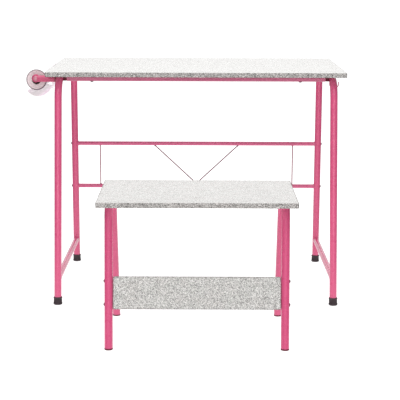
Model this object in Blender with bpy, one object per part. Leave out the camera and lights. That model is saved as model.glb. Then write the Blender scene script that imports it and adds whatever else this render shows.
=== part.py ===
"""Children's craft desk with a matching bench and a paper roll hung on the desk's left side.

Metres, +Z up, +X to the sitter's right, +Y away from the sitter.
Every piece is first built about its own group's centre on the floor (desk, bench) or on its own
axis (paper roll). The last step moves the whole set so that the origin is the bottom centre of its
bounding box.
"""
import math

import bmesh
import bpy
from mathutils import Matrix, Vector

GAP = 0.0003                # clearance left between pieces that touch

# Boards
BOARD_T = 0.0140            # laminated particle board
BOARD_CORNER = 0.005        # plan radius of a board's corners
BOARD_EASE = 0.0008         # small chamfer along every board edge

# Desk
DESK_W = 0.902
DESK_D = 0.597
DESK_H = 0.710
DESK_TUBE_R = 0.0111
DESK_FOOT_X = (0.4218, 0.4170)      # leg centres at the floor, front and rear
DESK_FOOT_Y = (-0.303, 0.299)
DESK_KNEE_X = (0.4146, 0.4170)      # where the leg lines meet the top run
DESK_KNEE_Y = (-0.264, 0.269)
DESK_BEND_R = 0.060
STRETCHER_Z = 0.079
STRETCHER_R = 0.0095
CAP_R = 0.0138
CAP_H = 0.0240
CAP_FLOOR = 0.0040                  # rubber under the tube's end

# Apron rail under the front of the desk top
APRON_Y = -0.2137
APRON_R = 0.0095
APRON_HALF = 0.3930
SADDLE_SIDE = 0.0170
APRON_SCREW_X = 0.317

# Rear truss
RAIL_R = 0.0067
RAIL_Z = (0.4181, 0.2694)           # upper and lower rail
POST_X = 0.3304
BRACE_X = 0.1416                    # upper ends of the V-shaped wire
WIRE_R = 0.0016
APEX_BEND_R = 0.004

# Fasteners
BOLT_HEAD_R = 0.0045
BOLT_HEAD_H = 0.0028
SCREW_HEAD_R = 0.0053
SCREW_HEAD_H = 0.0030
TOP_SCREW_Y = (-0.150, 0.150)

# Side hook
HOOK_Y = -0.120
HOOK_WIRE_R = 0.0016
HOOK_REACH = 0.0277
HOOK_BOTTOM_Z = 0.6480
HOOK_TIP_Z = 0.6685

# Paper roll and its holder
ROLL_X = -0.488
ROLL_Z = 0.6785
ROLL_R = 0.0315
ROLL_HALF = 0.194
CORE_IN_R = 0.0120
CORE_OUT_R = 0.0138
ROD_R = 0.0060
ARM_Y = 0.2090
ARM_R = 0.0100
ARM_DROP = 0.0010                   # the stub tube sits this far below the rod
ARM_CLEAR = 0.0015                  # the stub tube stops this far short of the rod
EYE_R = 0.0124
EYE_T = 0.0100
ROD_CAP_R = 0.0075
ROD_CAP_H = 0.0030
TAIL_R = 0.0515                     # radius of the loose sheet's curl about the roll's axis
TAIL_CURL = 0.0040                  # the free end curls in by this much past the angle below
TAIL_CURL_DEG = -80.0
TAIL_T = 0.0006
TAIL_DEG = (38.0, -28.0, -131.0)    # where it leaves the roll, where it is fully open, its free end
TAIL_CLEAR = 0.0006

# Bench
BENCH_X = 0.0055
BENCH_Y = -0.6088
BENCH_W = 0.5423
BENCH_D = 0.3762
BENCH_H = 0.4066
BENCH_TUBE_R = 0.0115
BENCH_FOOT_X = (0.2394, 0.2394)
BENCH_FOOT_Y = (-0.1773, 0.1785)
BENCH_KNEE_X = (0.2425, 0.2425)
BENCH_KNEE_Y = (-0.0851, 0.0835)
BENCH_BEND_R = 0.050
PLUG_H = 0.0045
RAIL_BOARD_Z = (0.1061, 0.1930)     # lower and upper edge of the board between the front legs
BOARD_BOLT_Z = (0.1190, 0.1810)
SEAT_SCREW_Y = (-0.030, 0.030)

TUBE_SIDES = 24
WIRE_SIDES = 10
BEND_STEPS = 8
HEAD_SIDES = 20

PAINT = ("pink_paint", (0.640, 0.105, 0.225, 1.0), 0.35, 0.0)
SHADED_PAINT = ("pink_paint_rail", (0.600, 0.098, 0.215, 1.0), 0.38, 0.0)
LAMINATE = ("speckled_laminate", (0.730, 0.730, 0.710, 1.0), 0.55, 0.0)
RUBBER = ("black_rubber", (0.030, 0.026, 0.028, 1.0), 0.60, 0.0)
PLASTIC = ("black_plastic", (0.018, 0.014, 0.016, 1.0), 0.45, 0.0)
STEEL = ("dark_plated_steel", (0.200, 0.140, 0.160, 1.0), 0.35, 0.8)
PAPER = ("white_paper", (0.800, 0.780, 0.790, 1.0), 0.80, 0.0)
CARD = ("grey_cardboard", (0.360, 0.300, 0.260, 1.0), 0.85, 0.0)


def clear_scene():
    for obj in list(bpy.data.objects):
        bpy.data.objects.remove(obj, do_unlink=True)


def material_for(name, look):
    _, colour, roughness, metallic = look
    material = bpy.data.materials.new(name)
    material.use_nodes = True
    shader = material.node_tree.nodes["Principled BSDF"]
    shader.inputs["Base Color"].default_value = colour
    shader.inputs["Roughness"].default_value = roughness
    shader.inputs["Metallic"].default_value = metallic
    return material


def add_piece(name, bm, look, origin):
    """A named object from a closed bmesh that was built about its group's origin."""
    bmesh.ops.recalc_face_normals(bm, faces=bm.faces)
    mesh = bpy.data.meshes.new(name)
    bm.to_mesh(mesh)
    bm.free()
    obj = bpy.data.objects.new(name, mesh)
    obj.location = origin
    obj.data.materials.append(material_for(name, look))
    bpy.context.scene.collection.objects.link(obj)
    return obj


def ring(bm, centre, across, up, radius, sides):
    found = []
    for k in range(sides):
        turn = math.tau * k / sides
        found.append(bm.verts.new(centre + radius * (math.cos(turn) * across + math.sin(turn) * up)))
    return found


def bridge(bm, first, second):
    count = len(first)
    for k in range(count):
        after = (k + 1) % count
        bm.faces.new((first[k], first[after], second[after], second[k]))


def sweep(points, radius, sides=TUBE_SIDES, level_ends=False):
    """A solid rod along a polyline. Level ends are cut parallel to the floor."""
    points = [Vector(p) for p in points]
    bm = bmesh.new()
    rings = []
    count = len(points)
    start = (points[1] - points[0]).normalized()
    side = Vector((1, 0, 0)) if abs(start.x) < 0.7 else Vector((0, 0, 1))
    across = (side - start * side.dot(start)).normalized()
    for i, point in enumerate(points):
        before = points[i] - points[max(i - 1, 0)]
        after = points[min(i + 1, count - 1)] - points[i]
        along = (before.normalized() + after.normalized()).normalized()
        across = (across - along * across.dot(along)).normalized()
        rings.append((ring(bm, point, across, along.cross(across), radius, sides), along))
    if level_ends:
        for (verts, along), point in ((rings[0], points[0]), (rings[-1], points[-1])):
            for vert in verts:
                vert.co += along * ((point.z - vert.co.z) / along.z)
    for (first, _), (second, _) in zip(rings, rings[1:]):
        bridge(bm, first, second)
    bm.faces.new(rings[0][0])
    bm.faces.new(rings[-1][0])
    bmesh.ops.recalc_face_normals(bm, faces=bm.faces)
    return bm


def bent_path(corners, radius, steps=BEND_STEPS):
    """The polyline through the corners with each inner corner rounded to a radius."""
    corners = [Vector(c) for c in corners]
    path = [corners[0]]
    for before, corner, after in zip(corners, corners[1:], corners[2:]):
        into = (before - corner).normalized()
        out = (after - corner).normalized()
        half = into.angle(out) / 2
        reach = radius / math.tan(half)
        centre = corner + (into + out).normalized() * (radius / math.sin(half))
        first = corner + into * reach - centre
        last = corner + out * reach - centre
        axis = first.cross(last).normalized()
        turn = first.angle(last)
        for k in range(steps + 1):
            path.append(centre + Matrix.Rotation(turn * k / steps, 3, axis) @ first)
    path.append(corners[-1])
    return path


def lathe(profile, axis, base, sides=HEAD_SIDES):
    """A solid of revolution: profile holds (distance along the axis, radius), ends at radius 0."""
    axis = Vector(axis).normalized()
    side = Vector((0, 0, 1)) if abs(axis.z) < 0.7 else Vector((1, 0, 0))
    across = (side - axis * side.dot(axis)).normalized()
    up = axis.cross(across)
    bm = bmesh.new()
    rings = [ring(bm, Vector(base) + axis * d, across, up, r, sides) for d, r in profile]
    for first, second in zip(rings, rings[1:]):
        bridge(bm, first, second)
    bm.faces.new(rings[0])
    bm.faces.new(rings[-1])
    bmesh.ops.recalc_face_normals(bm, faces=bm.faces)
    return bm


def box(low, high):
    bm = bmesh.new()
    bmesh.ops.create_cube(bm, size=1.0)
    low = Vector(low)
    high = Vector(high)
    for vert in bm.verts:
        for i in range(3):
            vert.co[i] = high[i] if vert.co[i] > 0 else low[i]
    return bm


def board(half_x, half_y, z_low, z_high):
    """A board with rounded plan corners and a fine chamfer round both faces."""
    bm = bmesh.new()
    layers = ((z_low, BOARD_EASE), (z_low + BOARD_EASE, 0), (z_high - BOARD_EASE, 0), (z_high, BOARD_EASE))
    rings = []
    for z, inset in layers:
        verts = []
        for quarter, (sx, sy) in enumerate(((1, 1), (-1, 1), (-1, -1), (1, -1))):
            for k in range(5):
                turn = math.tau * (quarter + k / 4) / 4
                reach = BOARD_CORNER - inset
                x = sx * (half_x - BOARD_CORNER) + reach * math.cos(turn)
                y = sy * (half_y - BOARD_CORNER) + reach * math.sin(turn)
                verts.append(bm.verts.new((x, y, z)))
        rings.append(verts)
    for first, second in zip(rings, rings[1:]):
        bridge(bm, first, second)
    bm.faces.new(rings[0])
    bm.faces.new(rings[-1])
    return bm


def combine(base, other, operation):
    """The exact Boolean of two closed bmeshes, as a bmesh."""
    pair = []
    for bm in (base, other):
        bmesh.ops.recalc_face_normals(bm, faces=bm.faces)
        mesh = bpy.data.meshes.new("working")
        bm.to_mesh(mesh)
        bm.free()
        obj = bpy.data.objects.new("working", mesh)
        bpy.context.scene.collection.objects.link(obj)
        pair.append(obj)
    modifier = pair[0].modifiers.new("boolean", "BOOLEAN")
    modifier.object = pair[1]
    modifier.operation = operation
    modifier.solver = "EXACT"
    graph = bpy.context.evaluated_depsgraph_get()
    made = bmesh.new()
    made.from_mesh(pair[0].evaluated_get(graph).to_mesh())
    for obj in pair:
        mesh = obj.data
        bpy.data.objects.remove(obj, do_unlink=True)
        bpy.data.meshes.remove(mesh)
    return made


def leg_point(foot, knee, side, z):
    """The point of a leg's straight centre line at a height."""
    point = Vector(foot).lerp(Vector(knee), z / knee[2])
    return Vector((side * point.x, point.y, z))


DESK_RUN_Z = DESK_H - BOARD_T - GAP - DESK_TUBE_R       # centre line of a side frame's top run
BENCH_RUN_Z = BENCH_H - BOARD_T - GAP - BENCH_TUBE_R
ROD_Z = ROLL_Z + CORE_IN_R - ROD_R - GAP                # the core hangs on the top of the rod


def desk_leg(side, rear, z):
    foot = (DESK_FOOT_X[rear], DESK_FOOT_Y[rear], 0)
    return leg_point(foot, (DESK_KNEE_X[rear], DESK_KNEE_Y[rear], DESK_RUN_Z), side, z)


def bench_leg(side, rear, z):
    foot = (BENCH_FOOT_X[rear], BENCH_FOOT_Y[rear], 0)
    return leg_point(foot, (BENCH_KNEE_X[rear], BENCH_KNEE_Y[rear], BENCH_RUN_Z), side, z)


def run_point(leg, side, y, z_run):
    """The point of a side frame's top run at a distance from front to rear."""
    front = leg(side, 0, z_run)
    rear = leg(side, 1, z_run)
    return front.lerp(rear, (y - front.y) / (rear.y - front.y))


def frame_corners(leg, side, foot_z, run_z):
    return [leg(side, 0, foot_z), leg(side, 0, run_z), leg(side, 1, run_z), leg(side, 1, foot_z)]


def desk_side_cutter(side):
    """The side frame's tube with clearance, for coping what butts against it."""
    path = bent_path(frame_corners(desk_leg, side, 0.1, DESK_RUN_Z), DESK_BEND_R, 2 * BEND_STEPS)
    return sweep(path, DESK_TUBE_R + GAP, 48)


def build_desk_top():
    bm = board(DESK_W / 2, DESK_D / 2, DESK_H - BOARD_T, DESK_H)
    add_piece("desk_top", bm, LAMINATE, Vector())


def build_desk_side(side, word):
    corners = frame_corners(desk_leg, side, CAP_FLOOR + GAP, DESK_RUN_Z)
    add_piece(f"desk_side_frame_{word}", sweep(bent_path(corners, DESK_BEND_R), DESK_TUBE_R), PAINT, Vector())
    ends = [desk_leg(side, rear, STRETCHER_Z) for rear in (0, 1)]
    tube = sweep(ends, STRETCHER_R)
    for rear in (0, 1):
        cutter = sweep([desk_leg(side, rear, z) for z in (0.0, 0.2)], DESK_TUBE_R + GAP, 48)
        tube = combine(tube, cutter, "DIFFERENCE")
    add_piece(f"desk_stretcher_{word}", tube, PAINT, Vector())
    for rear, place in ((0, "front"), (1, "rear")):
        foot = desk_leg(side, rear, CAP_H / 2)
        profile = ((0, CAP_R - 0.003), (0.001, CAP_R - 0.0012), (0.003, CAP_R),
                   (CAP_H - 0.002, CAP_R), (CAP_H - 0.0006, CAP_R - 0.0006), (CAP_H, CAP_R - 0.0014))
        cap = lathe(profile, (0, 0, 1), (foot.x, foot.y, 0), 32)
        bore = sweep([desk_leg(side, rear, z) for z in (CAP_FLOOR, 0.05)], DESK_TUBE_R + GAP, 32)
        add_piece(f"desk_foot_cap_{place}_{word}", combine(cap, bore, "DIFFERENCE"), RUBBER, Vector())


def pan_head(radius, height):
    return ((0, radius * 0.96), (height * 0.35, radius), (height * 0.70, radius * 0.86),
            (height * 0.93, radius * 0.55), (height, radius * 0.20))


def build_screw(name, x, y, z_under, origin):
    """A pan-head screw's head, seen below a tube or a rail."""
    profile = pan_head(SCREW_HEAD_R, SCREW_HEAD_H)
    add_piece(name, lathe(profile, (0, 0, -1), (x, y, z_under - GAP)), STEEL, origin)


def build_bolt(name, point, side, tube_r, origin):
    """A domed bolt head on the outer side of a leg."""
    base = (side * (abs(point.x) + tube_r + GAP), point.y, point.z)
    profile = pan_head(BOLT_HEAD_R, BOLT_HEAD_H)
    add_piece(name, lathe(profile, (side, 0, 0), base), STEEL, origin)


def build_apron():
    z = DESK_H - BOARD_T - GAP - APRON_R
    ends = [(-APRON_HALF, APRON_Y, z), (APRON_HALF, APRON_Y, z)]
    add_piece("desk_apron_rail", sweep(ends, APRON_R), SHADED_PAINT, Vector())
    for side, word in ((-1, "left"), (1, "right")):
        half = SADDLE_SIDE / 2
        near = APRON_HALF + GAP
        far = run_point(desk_leg, 1, APRON_Y, DESK_RUN_Z).x
        block = box((near, APRON_Y - half, z - half + 0.0005), (far, APRON_Y + half, z + half))
        bmesh.ops.bevel(block, geom=block.edges[:], offset=0.0015, segments=2, affect="EDGES")
        block = combine(block, desk_side_cutter(1), "DIFFERENCE")
        bmesh.ops.scale(block, vec=(side, 1, 1), verts=block.verts)
        add_piece(f"desk_apron_saddle_{word}", block, PLASTIC, Vector())
        build_screw(f"desk_apron_screw_{word}", side * APRON_SCREW_X, APRON_Y, z - APRON_R, Vector())


def build_top_screws():
    for side, word in ((-1, "left"), (1, "right")):
        for y, place in zip(TOP_SCREW_Y, ("front", "rear")):
            name = f"desk_top_screw_{place}_{word}"
            x = run_point(desk_leg, side, y, DESK_RUN_Z).x
            build_screw(name, x, y, DESK_RUN_Z - DESK_TUBE_R, Vector())


def truss_point(x, z):
    """A point in the slanted plane of the rear legs."""
    point = desk_leg(1, 1, z)
    return Vector((x, point.y, z))


def build_truss():
    for z, place in zip(RAIL_Z, ("upper", "lower")):
        reach = desk_leg(1, 1, z).x
        tube = sweep([truss_point(-reach, z), truss_point(reach, z)], RAIL_R, 20)
        for side, word in ((-1, "left"), (1, "right")):
            ends = [desk_leg(side, 1, z - 0.05), desk_leg(side, 1, z + 0.05)]
            tube = combine(tube, sweep(ends, DESK_TUBE_R + GAP, 48), "DIFFERENCE")
            build_bolt(f"desk_rail_bolt_{place}_{word}", desk_leg(side, 1, z), side, DESK_TUBE_R, Vector())
        add_piece(f"desk_rear_rail_{place}", tube, SHADED_PAINT, Vector())
    high, low = RAIL_Z
    clear = RAIL_R + GAP
    for side, word in ((-1, "left"), (1, "right")):
        x = side * POST_X
        post = sweep([truss_point(x, low + clear), truss_point(x, high - clear)], WIRE_R, WIRE_SIDES)
        add_piece(f"desk_truss_post_{word}", post, SHADED_PAINT, Vector())
    top_z = high - clear - WIRE_R
    apex_z = low + clear + WIRE_R
    corners = [truss_point(-BRACE_X, top_z), truss_point(0, apex_z), truss_point(BRACE_X, top_z)]
    brace = sweep(bent_path(corners, APEX_BEND_R, 4), WIRE_R, WIRE_SIDES)
    add_piece("desk_truss_v_wire", brace, SHADED_PAINT, Vector())


def build_hook():
    top_z = DESK_RUN_Z - DESK_TUBE_R - GAP
    bend = HOOK_REACH / 2 - 0.0002
    x = run_point(desk_leg, 1, HOOK_Y, DESK_RUN_Z).x
    corners = [(x, HOOK_Y, top_z), (x, HOOK_Y, HOOK_BOTTOM_Z),
               (x + HOOK_REACH, HOOK_Y, HOOK_BOTTOM_Z), (x + HOOK_REACH, HOOK_Y, HOOK_TIP_Z)]
    wire = sweep(bent_path(corners, bend, 8), HOOK_WIRE_R, 12)
    collar = lathe(((0, 0.0040), (0.0012, 0.0042), (0.0020, 0.0030)), (0, 0, -1), corners[0], 20)
    add_piece("desk_side_hook", combine(wire, collar, "UNION"), PAINT, Vector())


def build_roll_arm(end, word):
    """A stub tube from the side frame with a flattened eye that carries the rod."""
    y = end * ARM_Y
    root_x = run_point(desk_leg, -1, y, DESK_RUN_Z).x - DESK_TUBE_R / 2
    arm_z = ROD_Z - ARM_DROP
    arm = sweep([(root_x, y, arm_z), (ROLL_X + ROD_R + ARM_CLEAR, y, arm_z)], ARM_R)
    arm = combine(arm, desk_side_cutter(-1), "DIFFERENCE")
    profile = ((0, EYE_R - 0.0012), (0.0012, EYE_R), (EYE_T - 0.0012, EYE_R), (EYE_T, EYE_R - 0.0012))
    eye = lathe(profile, (0, 1, 0), (ROLL_X, y - EYE_T / 2, ROD_Z), 32)
    add_piece(f"roll_arm_{word}", combine(arm, eye, "UNION"), PAINT, Vector())
    base = (ROLL_X, y + end * (EYE_T / 2 + GAP), ROD_Z)
    cap = lathe(pan_head(ROD_CAP_R, ROD_CAP_H), (0, end, 0), base, 24)
    add_piece(f"roll_rod_cap_{word}", cap, PAINT, Vector())


def build_rod():
    reach = ARM_Y - EYE_T / 2 - GAP
    add_piece("roll_rod", sweep([(ROLL_X, -reach, ROD_Z), (ROLL_X, reach, ROD_Z)], ROD_R), PAINT, Vector())


def tube_wall(inner, outer, half, sides):
    """A pipe along Y, centred on the origin."""
    bm = bmesh.new()
    across = Vector((1, 0, 0))
    up = Vector((0, 0, 1))
    corners = ((inner, -half), (outer, -half), (outer, half), (inner, half))
    rings = [ring(bm, Vector((0, y, 0)), across, up, r, sides) for r, y in corners]
    for first, second in zip(rings, rings[1:] + rings[:1]):
        bridge(bm, first, second)
    return bm


def build_roll():
    """The core and the wound paper turn about the roll's own axis."""
    axis = Vector((ROLL_X, 0, ROLL_Z))
    add_piece("roll_core", tube_wall(CORE_IN_R, CORE_OUT_R, ROLL_HALF + 0.001, 48), CARD, axis)
    add_piece("roll_paper", tube_wall(CORE_OUT_R + GAP, ROLL_R, ROLL_HALF, 64), PAPER, axis)


def smooth(value):
    share = min(max(value, 0.0), 1.0)
    return share * share * (3 - 2 * share)


def tail_radius(degrees):
    """The loose sheet leaves the roll, opens out smoothly and curls in a little at its free end."""
    leaves, opened, last = TAIL_DEG
    share = smooth((leaves - degrees) / (leaves - opened))
    curl = smooth((TAIL_CURL_DEG - degrees) / (TAIL_CURL_DEG - last))
    start = ROLL_R + TAIL_CLEAR + TAIL_T
    return start + (TAIL_R - start) * share - TAIL_CURL * curl


def build_tail():
    steps = 40
    first, _, last = TAIL_DEG
    bm = bmesh.new()
    rows = []
    for k in range(steps + 1):
        degrees = first + (last - first) * k / steps
        turn = math.radians(degrees)
        out = Vector((math.cos(turn), 0, math.sin(turn)))
        radius = tail_radius(degrees)
        row = []
        for r, y in ((radius - TAIL_T, -ROLL_HALF), (radius, -ROLL_HALF), (radius, ROLL_HALF),
                     (radius - TAIL_T, ROLL_HALF)):
            row.append(bm.verts.new(out * r + Vector((0, y, 0))))
        rows.append(row)
    for before, after in zip(rows, rows[1:]):
        bridge(bm, before, after)
    bm.faces.new(rows[0])
    bm.faces.new(rows[-1])
    add_piece("roll_loose_sheet", bm, PAPER, Vector((ROLL_X, 0, ROLL_Z)))


def build_bench(origin):
    seat = board(BENCH_W / 2, BENCH_D / 2, BENCH_H - BOARD_T, BENCH_H)
    add_piece("bench_seat", seat, LAMINATE, origin)
    for side, word in ((-1, "left"), (1, "right")):
        corners = frame_corners(bench_leg, side, PLUG_H + GAP, BENCH_RUN_Z)
        tube = sweep(bent_path(corners, BENCH_BEND_R), BENCH_TUBE_R, level_ends=True)
        add_piece(f"bench_side_frame_{word}", tube, PAINT, origin)
        for rear, place in ((0, "front"), (1, "rear")):
            ends = [bench_leg(side, rear, z) for z in (0.0, PLUG_H)]
            plug = sweep(ends, BENCH_TUBE_R + GAP, TUBE_SIDES, level_ends=True)
            add_piece(f"bench_foot_plug_{place}_{word}", plug, PLASTIC, origin)
            name = f"bench_seat_screw_{place}_{word}"
            x = run_point(bench_leg, side, SEAT_SCREW_Y[rear], BENCH_RUN_Z).x
            build_screw(name, x, SEAT_SCREW_Y[rear], BENCH_RUN_Z - BENCH_TUBE_R, origin)
        for z, place in zip(BOARD_BOLT_Z, ("lower", "upper")):
            name = f"bench_board_bolt_{place}_{word}"
            build_bolt(name, bench_leg(side, 0, z), side, BENCH_TUBE_R, origin)


def build_bench_board(origin):
    """The board that ties the front legs together, lying in their slanted plane."""
    low, high = RAIL_BOARD_Z
    bottom = bench_leg(1, 0, low)
    top = bench_leg(1, 0, high)
    half_x = bottom.x - BENCH_TUBE_R - 2 * GAP
    slant = (top - bottom).normalized()
    middle = (top + bottom) / 2
    bm = board(half_x, (top - bottom).length / 2, -BOARD_T / 2, BOARD_T / 2)
    turn = Matrix.Rotation(math.atan2(slant.z, slant.y), 4, "X")
    bmesh.ops.transform(bm, matrix=Matrix.Translation((0, middle.y, middle.z)) @ turn, verts=bm.verts)
    add_piece("bench_front_board", bm, LAMINATE, origin)


def centre_set():
    """Moves every piece so that the origin is the bottom centre of the set's bounding box."""
    bpy.context.view_layer.update()
    corners = [obj.matrix_world @ v.co for obj in bpy.data.objects for v in obj.data.vertices]
    low = [min(c[i] for c in corners) for i in range(3)]
    high = [max(c[i] for c in corners) for i in range(3)]
    shift = Vector(((low[0] + high[0]) / 2, (low[1] + high[1]) / 2, low[2]))
    for obj in bpy.data.objects:
        obj.location -= shift
    print("set moved by", [round(-c, 6) for c in shift])


def main():
    clear_scene()
    build_desk_top()
    for side, word in ((-1, "left"), (1, "right")):
        build_desk_side(side, word)
    build_apron()
    build_top_screws()
    build_truss()
    build_hook()
    for end, word in ((-1, "front"), (1, "rear")):
        build_roll_arm(end, word)
    build_rod()
    build_roll()
    build_tail()
    bench = Vector((BENCH_X, BENCH_Y, 0))
    build_bench(bench)
    build_bench_board(bench)
    centre_set()


main()
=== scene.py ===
"""The visual model of a child's craft desk, its bench and a hanging paper roll.

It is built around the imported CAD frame, in metres, +Z up. Each CAD node has one finer piece that
stands for it and rides on the same body. Places are counted from the frame's own boxes.
"""

import math
import random

import bmesh
import bpy
from mathutils import Matrix, Vector, noise


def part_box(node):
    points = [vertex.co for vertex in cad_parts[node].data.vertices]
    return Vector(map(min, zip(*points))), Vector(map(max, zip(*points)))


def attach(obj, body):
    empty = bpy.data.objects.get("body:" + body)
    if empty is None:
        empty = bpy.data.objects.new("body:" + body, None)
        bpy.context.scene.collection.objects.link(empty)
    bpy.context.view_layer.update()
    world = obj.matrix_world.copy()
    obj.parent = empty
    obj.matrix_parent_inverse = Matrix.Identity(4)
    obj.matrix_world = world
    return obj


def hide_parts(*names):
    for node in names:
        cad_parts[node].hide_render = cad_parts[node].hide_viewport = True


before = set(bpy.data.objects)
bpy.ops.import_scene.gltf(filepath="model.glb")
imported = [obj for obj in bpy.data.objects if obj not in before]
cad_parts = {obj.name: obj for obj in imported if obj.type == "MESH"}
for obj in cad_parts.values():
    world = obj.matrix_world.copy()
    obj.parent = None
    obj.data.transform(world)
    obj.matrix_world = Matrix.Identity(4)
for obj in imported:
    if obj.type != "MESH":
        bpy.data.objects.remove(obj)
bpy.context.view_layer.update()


# ---------------- dimensions

def middle(node):
    low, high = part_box(node)
    return (low + high) / 2


def span(node):
    low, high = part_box(node)
    return high - low


DESK = Vector((middle("desk_top").x, middle("desk_top").y, 0))
BENCH = Vector((middle("bench_seat").x, middle("bench_seat").y, 0))
ROLL = middle("roll_paper")

BOARD_T = span("desk_top").z
BOARD_CORNER = 0.005
CORNER_STEPS = 8
EDGE_ROUND = 0.0012                 # rounding of the edge band
SEAM_IN = 0.0019                    # where the face laminate meets the edge band
SEAM_W = 0.00035
SEAM_D = 0.00025

DESK_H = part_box("desk_top")[1].z
DESK_TUBE_R = 0.0111
DESK_FOOT_X = (0.4218, 0.4170)      # front and rear legs' centres at the floor
DESK_FOOT_Y = (-0.303, 0.299)
DESK_KNEE_X = (0.4146, 0.4170)      # and where the leg lines meet the top run
DESK_KNEE_Y = (-0.264, 0.269)
DESK_BEND_R = 0.060
BEND_FLAT = 0.035                   # a bent tube's height loses this share at the bend's middle
GAP = 0.0003                        # clearance between pieces that touch
DESK_RUN_Z = DESK_H - BOARD_T - GAP - DESK_TUBE_R
STRETCHER_Z = 0.079
STRETCHER_R = 0.0095
CAP_R = 0.0138
CAP_H = 0.0240
CAP_FLOOR = 0.0040
WALL_IN = 0.003                     # welded tubes run this far into the tube they meet
HEAD_SUNK = 0.0001                  # and screw heads this far
BOLT_SUNK = 0.0002
WELD_FROM = 0.05                    # a weld is sought from this far back along the branch

APRON_Y = -0.2137
APRON_R = 0.0095
APRON_HALF = 0.3930
SADDLE_SIDE = 0.0170
RIB_W = 0.0014
RIB_OUT = 0.0003
APRON_SCREW_X = 0.317

RAIL_R = 0.0067
RAIL_Z = (0.4181, 0.2694)
POST_X = 0.3304
BRACE_X = 0.1416
BRACE_SUNK = 0.0014
APEX_BEND_R = 0.004
WIRE_R = 0.0018

BOLT_HEAD_R = 0.0045
BOLT_HEAD_H = 0.0028
SCREW_HEAD_R = 0.0053
SCREW_HEAD_H = 0.0030
TOP_SCREW_Y = (-0.150, 0.150)

HOOK_Y = -0.120
HOOK_WIRE_R = 0.0016
HOOK_REACH = 0.0277
HOOK_BOTTOM_Z = 0.6480
HOOK_TIP_Z = 0.6685

ROLL_R = span("roll_paper").z / 2
ROLL_HALF = span("roll_paper").y / 2
CORE_IN_R = 0.0120
CORE_OUT_R = 0.0138
CORE_PROUD = 0.001
ROD_R = 0.0060
ROD_Z = ROLL.z + CORE_IN_R - ROD_R - GAP
ARM_Y = 0.2090
ARM_R = 0.0100
ARM_DROP = 0.0010                   # the arms sit this far below the rod
ARM_IN = 0.002                      # and run this far into the side frame
ARM_TIP = 0.004                     # they end this far short of the roll's axis
ARM_SHADE_SEAM = (-0.0085, -0.0058)       # the painted shadow seam's start and end, from an arm's root
ARM_WELD_FROM = 0.04
EYE_R = 0.0124
EYE_T = 0.0100
ROD_CAP_R = 0.0075
ROD_CAP_H = 0.0030
TAIL_R = 0.0515
TAIL_CURL = 0.0040
TAIL_CURL_DEG = -80.0
TAIL_T = 0.00028
TAIL_CLEAR = 0.0006
TAIL_DEG = (38.0, -28.0, -131.0)    # where it leaves the roll, is fully open, and ends
SHEET_ROWS = 72
SHEET_COLUMNS = 64
ROLL_LAYERS = 30
LAYER_STEP = 0.00004                # between one wound layer's face and the next
LAST_LAYER_BACK = 0.0009            # the outer layer sits this far in from the roll's ends
SPIRAL_PITCH = 0.030                # of the core's wound board

BENCH_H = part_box("bench_seat")[1].z
BENCH_TUBE_R = 0.0115
BENCH_FOOT_X = (0.2394, 0.2394)
BENCH_FOOT_Y = (-0.1773, 0.1785)
BENCH_KNEE_X = (0.2425, 0.2425)
BENCH_KNEE_Y = (-0.0851, 0.0835)
BENCH_RUN_Z = BENCH_H - BOARD_T - GAP - BENCH_TUBE_R
BENCH_BEND_R = 0.050
PLUG_H = 0.0045
FRONT_BOARD_Z = (0.1061, 0.1930)
BOARD_BOLT_Z = (0.1190, 0.1810)
SEAT_SCREW_Y = (-0.030, 0.030)

RIGHT = Vector((1, 0, 0))
UP = Vector((0, 0, 1))
QUARTERS = ((1, 1), (-1, 1), (-1, -1), (1, -1))
SIDES = ((-1, "left"), (1, "right"))
ENDS = ((0, "front"), (1, "rear"))


# ---------------- node helpers

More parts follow.
